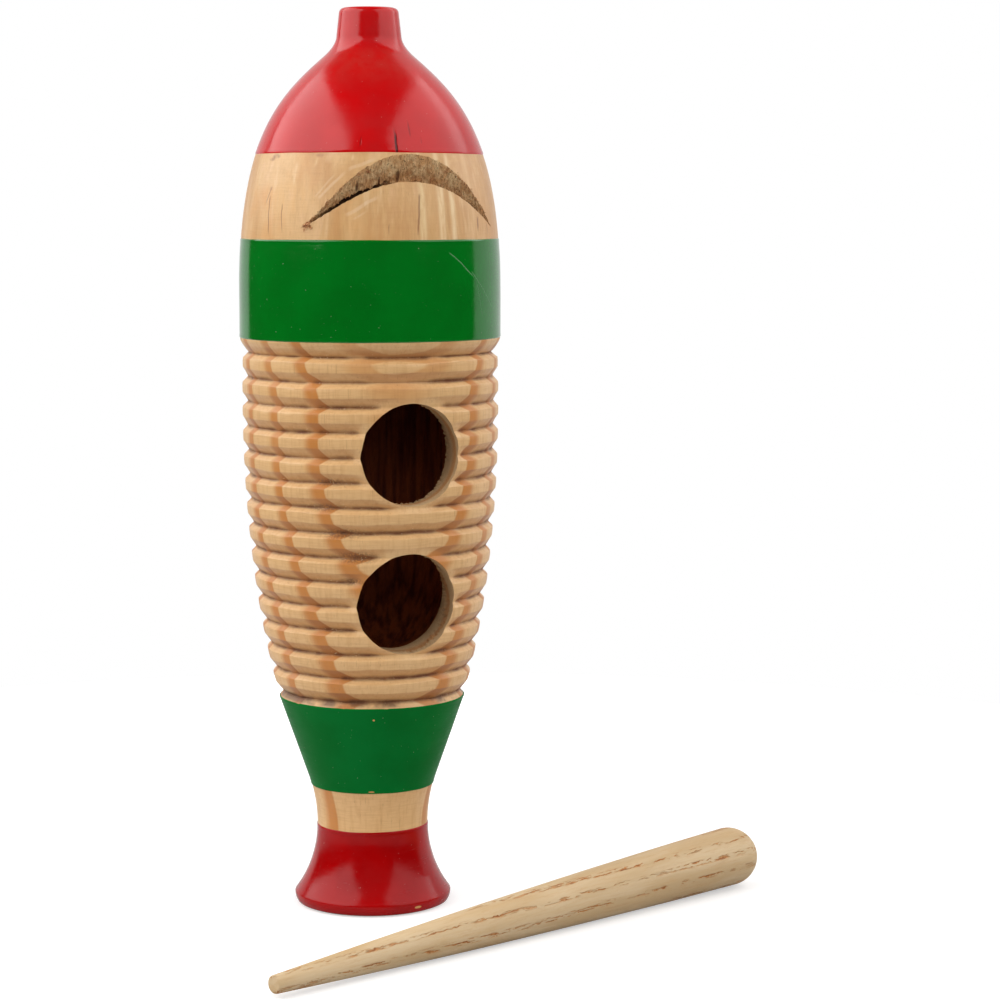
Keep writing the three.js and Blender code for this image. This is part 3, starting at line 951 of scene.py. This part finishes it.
def scraper_wood():
    """The scraper's wood, with dark dashes of pores along its growth rings."""
    g = Graph("scraper_oak")
    start, directions, _ = scraper_frame()
    offset = [axis - float(place) for axis, place in zip((g.x, g.y, g.z), start)]
    u, v, s = (offset[0] * float(way[0]) + offset[1] * float(way[1]) + offset[2] * float(way[2])
               for way in directions)
    warp = (g.noise(g.vector(u, v, s / 12), 6) - 0.5) * 2.2
    across_rings = u * 0.35 + v * 0.94 + s * 0.012 + warp
    ring = g.math("ABSOLUTE", g.math("FRACT", across_rings / 4.4) - 0.5)
    on_line = g.step(ring, 0.06, 0.20, 1, 0.08)
    shake = (g.noise(g.vector(u, v, s), 1.6) - 0.5) * 0.9
    pores = g.noise(g.vector(u + shake, v + shake, s / 10), 0.62, 2, 0.55)
    pore = g.step(pores, 0.50, 0.60) * on_line
    cluster = g.step(g.noise(g.vector(u, v, s / 4), 9), 0.35, 0.65, 0.4, 1)
    fibres = g.noise(g.vector(u, v, s / 26), 0.5, 3, 0.6)
    broad = g.noise(g.vector(u, v, s / 8), 5, 2)
    colour = g.layered(srgb(210, 184, 146), [(broad, 0.35, 0.65, 1, (198, 168, 126)),
                                             (fibres, 0.40, 0.75, 0.35, (200, 164, 116)),
                                             (pores, 0.48, 0.58, on_line * cluster * 0.35,
                                              (226, 164, 84))])
    colour = g.mix(pore * cluster, colour, srgb(188, 118, 54))
    colour = g.layered(colour, [(pores, 0.60, 0.68, on_line * cluster * 0.85, (116, 60, 22))])
    return g.finish(colour, 0.62, g.bump(fibres * 0.5 - pore * 1.5, 0.16), specular=0.35)


def fibre_wood(name, pale, dark):
    """Loose slivers of wood."""
    g = Graph(name)
    colour = g.mix(g.step(g.noise(g.place, 0.6, 2), 0.35, 0.65), srgb(*pale), srgb(*dark))
    return g.finish(colour, 0.7, specular=0.3)


# ---- Assembling the pieces ----

def share_materials(piece, materials, choose):
    """Gives each face the material that choose picks from its centre and normal."""
    mesh = piece.data
    mesh.materials.clear()
    for material in materials:
        mesh.materials.append(material)
    count = len(mesh.polygons)
    centre = np.empty(count * 3)
    normal = np.empty(count * 3)
    mesh.polygons.foreach_get("center", centre)
    mesh.polygons.foreach_get("normal", normal)
    picked = choose(centre.reshape(-1, 3) / MM, normal.reshape(-1, 3))
    mesh.polygons.foreach_set("material_index", picked.astype(np.int32))


def from_axis(centre, normal):
    """Distance of each face from the axis, and how far it faces away from the axis."""
    radius = np.hypot(centre[:, 0], centre[:, 1])
    return radius, (normal[:, :2] * centre[:, :2]).sum(axis=1) / np.maximum(radius, 0.1)


def body_surfaces(centre, normal):
    """0 on the turned outside, 1 on the walls of the finger holes and 2 in the bore."""
    radius, outward = from_axis(centre, normal)
    z = centre[:, 2]
    picked = np.zeros(len(centre))
    for height in HOLE_HEIGHTS:
        spoke = np.stack([centre[:, 0], z - height])
        away = np.hypot(*spoke)
        inward = (spoke * normal.T[[0, 2]]).sum(axis=0) / away < -0.45
        near = (away < HOLE_RADIUS + 1.2) & (centre[:, 1] < 0)
        picked[near & inward & (np.abs(normal[:, 1]) < 0.75)] = 1
    inside = (outward < -0.3) & (z > CAVITY_FLOOR_Z - 1) & (radius < CAVITY_RADIUS + 0.1)
    floor = (normal[:, 2] > 0.6) & (z < 100) & (z > CAVITY_FLOOR_Z - 0.5)
    floor &= radius < CAVITY_RADIUS - 1
    picked[(inside | floor) & (picked == 0)] = 2
    return picked


def head_surfaces(centre, normal):
    """0 on the turned outside, 1 on the saw cuts of the mouth and 2 in the hollow."""
    radius, outward = from_axis(centre, normal)
    z = centre[:, 2]
    outline = head_outline()
    slope = np.gradient(outline[:, 0], outline[:, 1] + np.arange(len(outline)) * 1e-6)
    outer = np.interp(z, outline[:, 1], outline[:, 0])
    lean = np.interp(z, outline[:, 1], slope)
    along_skin = (outward - lean * normal[:, 2]) / np.hypot(1, lean)
    sawn = (radius < outer - 0.3) | (along_skin < 0.93)
    sawn &= (z > MOUTH_APEX_Z - 1.5) & (z < 240) & (centre[:, 1] < -10)
    wall = (radius < CAVITY_RADIUS + 0.1) & (outward < -0.3)
    roof = (z < CAVITY_TOP_Z + 0.1) & (radius < CAVITY_RADIUS - 0.5) & (normal[:, 2] < -0.9)
    bored = (radius < CAVITY_RADIUS + 0.05) & (outward < -0.95) & (z < CAVITY_TOP_Z)
    picked = np.where(sawn, 1, 0)
    picked[(wall | roof) & ~sawn | bored] = 2
    return picked


def paint_finishes():
    """The lacquer of each coat. Angles are in degrees, and heights, radii and widths in mm."""
    return {
        "foot_red_paint": lacquer(
            "red_lacquer_foot", (164, 0, 2), (150, 0, 2), 0.12, 0.22, brushed=0.1,
            chips=[(16, 2.2, 23.6, 1.2, 0.4)]),
        "tail_green_paint": lacquer(
            "green_lacquer_tail", (0, 110, 42), (0, 102, 36), 0.34, 0.05, brushed=0.08,
            chips=[(-18, 60.5, 27, 0.35, 0.3), (-20, 37.3, 19, 0.9, 0.25)]),
        "band_green_paint": lacquer(
            "green_lacquer_band", (0, 113, 26), (0, 105, 22), 0.07,
            scratches=[((16.5, 198.5), (33, 190.5), 39, 0.22),
                       ((30, 193), (48, 181.5), 39, 0.2),
                       ((34, 189.5), (39, 178.5), 39, 0.16)]),
        "nose_red_paint": lacquer(
            "red_lacquer_nose", (198, 0, 4), (186, 0, 3), 0.14, 0.42, brushed=0.03,
            # The paler patch up to the neck is painted sheen with some dust.
            sheen_veil=(243, 254, 259, (178, 48, 40)),
            cracks=[((-5.4, 226), (-5.8, 234), 34, 0.5, 0.9),
                    ((-23.5, 228.2), (-23, 232.5), 34, 0.4, 0.4),
                    ((2, 231), (2.4, 237), 32, 0.3, 0.4),
                    ((8, 229), (8.2, 232), 33, 0.3, 0.4)])}


def add_pieces():
    dark_wood = bore_wood()
    body, head, scraper = make_body_wood(), make_head_wood(), make_scraper()
    share_materials(body, [bare_wood(), drilled_wood(), dark_wood], body_surfaces)
    share_materials(head, [head_wood(), torn_wood(), dark_wood], head_surfaces)
    scraper.data.materials.append(scraper_wood())
    for piece, body_name, node, slot in ((body, "guiro", "body", "bare_wood"),
                                         (head, "guiro", "head", "bare_wood"),
                                         (scraper, "scraper", "scraper", "scraper_wood")):
        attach(piece, body_name)
        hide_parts(node)
        finish_shading(piece, 34)
    finishes = paint_finishes()
    for name, coat in make_paint().items():
        coat.data.materials.append(finishes[name])
        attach(coat, "guiro")
        "red_lacquer" if "red" in name else "green_lacquer"
        finish_shading(coat, 50)


def add_groove_burrs():
    """Loose slivers in the grooves, most of them round the finger holes."""
    rng = np.random.default_rng(71)
    count = 260
    groove = rng.integers(2, RIDGE_COUNT + 1, count)
    angle = np.radians(rng.normal(-26, 17, count))
    z = FIRST_GROOVE_Z + groove * RIDGE_PITCH + rng.normal(0, 0.8, count)
    offset = z - FIRST_GROOVE_Z - groove * RIDGE_PITCH
    flank = np.where(offset > 0, FLANK_ABOVE, FLANK_BELOW)
    radius = crest_radius(z) - GROOVE_DEPTH * (1 - np.abs(offset) / flank) - 0.08
    clear = np.ones(count, bool)
    for height in HOLE_HEIGHTS:
        clear &= np.hypot(radius * np.sin(angle), z - height) > HOLE_RADIUS + 0.8
    out = np.stack([np.sin(angle), -np.cos(angle), np.zeros(count)], axis=-1)
    roots = out * radius[:, None] + z[:, None] * np.array([0, 0, 1])
    directions = out * 0.5 + rng.normal(0, 0.6, (count, 3))
    lengths = rng.uniform(0.25, 1, count)
    widths = rng.uniform(0.05, 0.13, count)
    make_fibres("groove_burrs", roots[clear], directions[clear], lengths[clear], widths[clear], 72,
                fibre_wood("pale_fibre", (232, 204, 164), (206, 168, 120)))


def lip(cut_line, across):
    """Where one of the mouth's two cuts meets the skin, at these distances sideways."""
    outline = head_outline()
    z = np.full(across.shape, MOUTH_APEX_Z + 8)
    for _ in range(12):
        skin = np.interp(z, outline[:, 1], outline[:, 0])
        depth = np.sqrt(np.maximum(skin ** 2 - across ** 2, 0)) - MOUTH_APEX
        z = cut_height(cut_line, depth, across)
    return np.stack([across, -MOUTH_APEX - depth, z], axis=-1)


def add_mouth_fibres():
    """Slivers torn loose along the upper lip and at the left end of the mouth."""
    rng = np.random.default_rng(81)
    upper = lip(MOUTH_UPPER, rng.uniform(-29, 29, 520))
    end = lip(MOUTH_LOWER, rng.uniform(-28.3, -27, 46)) + rng.normal(0, 0.5, (46, 3))
    roots = np.vstack([upper, end])
    count = len(roots)
    size = np.concatenate([np.full(len(upper), 1), np.full(len(end), 2)])
    roots = roots + rng.normal(0, 0.16, (count, 3))
    out = roots * np.array([1, 1, 0])
    out /= np.linalg.norm(out, axis=1)[:, None]
    roots = roots - out * 0.35
    directions = out * 0.35 + np.array([0, 0, -0.5]) + rng.normal(0, 0.45, (count, 3))
    lengths = rng.uniform(0.4, 0.9, count) * size
    widths = rng.uniform(0.07, 0.15, count) * size
    make_fibres("mouth_fibres", roots, directions, lengths, widths, 82,
                fibre_wood("brown_fibre", (214, 158, 108), (140, 84, 50)))


# ---- Studio ----

CAMERA_PLACE = (-0.278, -0.808, 0.213)
CAMERA_LENS, CAMERA_PITCH = 102.2, 83.99  # in mm, and degrees up from straight down
CAMERA_SIDE = -21.6  # degrees from -Y towards +X
AIM_HEIGHT = 0.14
FLOOR_REACH = 0.42
BACKDROP_TURN = math.radians(168 + CAMERA_SIDE)  # middle of the bright backdrop
# Azimuth from the camera's side, elevation, distance, width, height, radiance, shows in gloss.
SOFTBOXES = {"softbox_right": (82, 37.5, 1, 1.6, 0.95, 1.7, True),
             "softbox_left": (-80, 37.5, 1, 1.8, 0.95, 2.7, True),
             "overhead": (0, 80, 1.1, 1, 1, 0.6, False),
             "front_fill": (8, 38, 1.2, 1.2, 1.2, 1.15, False)}


def add_camera():
    data = bpy.data.cameras.new("camera")
    data.lens = CAMERA_LENS
    data.sensor_width = 36
    data.clip_start, data.clip_end = 0.01, 50
    camera = add_object("camera", data)
    camera.location = CAMERA_PLACE
    camera.rotation_euler = (math.radians(CAMERA_PITCH), 0, math.radians(CAMERA_SIDE))
    bpy.context.scene.camera = camera


def add_softbox(name, azimuth, elevation, distance, width, height, radiance, glossy):
    """An area light that faces the guiro. Its azimuth is 0 at the camera and 90 on its right."""
    direction, rise = math.radians(azimuth + CAMERA_SIDE), math.radians(elevation)
    away = Vector((math.sin(direction) * math.cos(rise), -math.cos(direction) * math.cos(rise),
                   math.sin(rise)))
    data = bpy.data.lights.new(name, "AREA")
    data.shape = "RECTANGLE"
    data.size, data.size_y = width, height
    data.energy = radiance * math.pi * width * height
    light = add_object(name, data)
    light.location = Vector((0, 0, AIM_HEIGHT)) + away * distance
    light.rotation_euler = away.to_track_quat("Z", "Y").to_euler()
    light.visible_camera = False
    light.visible_glossy = glossy


def add_floor():
    """White paper that glows a little for the camera, more so towards its edge."""
    disc = bmesh.new()
    bmesh.ops.create_circle(disc, cap_ends=True, cap_tris=True, segments=96, radius=FLOOR_REACH)
    mesh = bpy.data.meshes.new("floor")
    disc.to_mesh(mesh)
    disc.free()
    g = Graph("floor_paper")
    tone = g.mix(g.noise(g.place, 60, 2), (0.58, 0.58, 0.58, 1), (0.61, 0.61, 0.61, 1))
    glow = g.step(g.radius, 120, 400, 0.5, 0.9) * g.seen()
    mesh.materials.append(g.finish(tone, 0.8, specular=0.1, glow=glow))
    add_object("floor", mesh)


def add_world():
    """White behind everything the camera sees, and a dim room for all other rays."""
    world = bpy.data.worlds.new("studio")
    bpy.context.scene.world = world
    g = Nodes(world)
    white, dim = (g.node("ShaderNodeBackground", {"Color": (1, 1, 1, 1)}) for _ in range(2))
    around = g.node("ShaderNodeTexCoord").outputs["Generated"]
    backdrop = (math.sin(BACKDROP_TURN), -math.cos(BACKDROP_TURN), 0)
    towards = g.combine("ShaderNodeVectorMath", (around, backdrop), "Value",
                        operation="DOT_PRODUCT")
    g.put(dim.inputs["Strength"], g.step(towards, 0.44, 0.52, 0.025, 0.8))
    shown = g.combine("ShaderNodeMixShader", (g.seen(), dim.outputs[0], white.outputs[0]))
    g.put(g.node("ShaderNodeOutputWorld").inputs[0], shown)


def add_studio():
    bpy.context.scene.view_settings.view_transform = "Standard"
    add_camera()
    add_floor()
    add_world()
    for name, settings in SOFTBOXES.items():
        add_softbox(name, *settings)


add_pieces()
add_groove_burrs()
add_mouth_fibres()
add_studio()
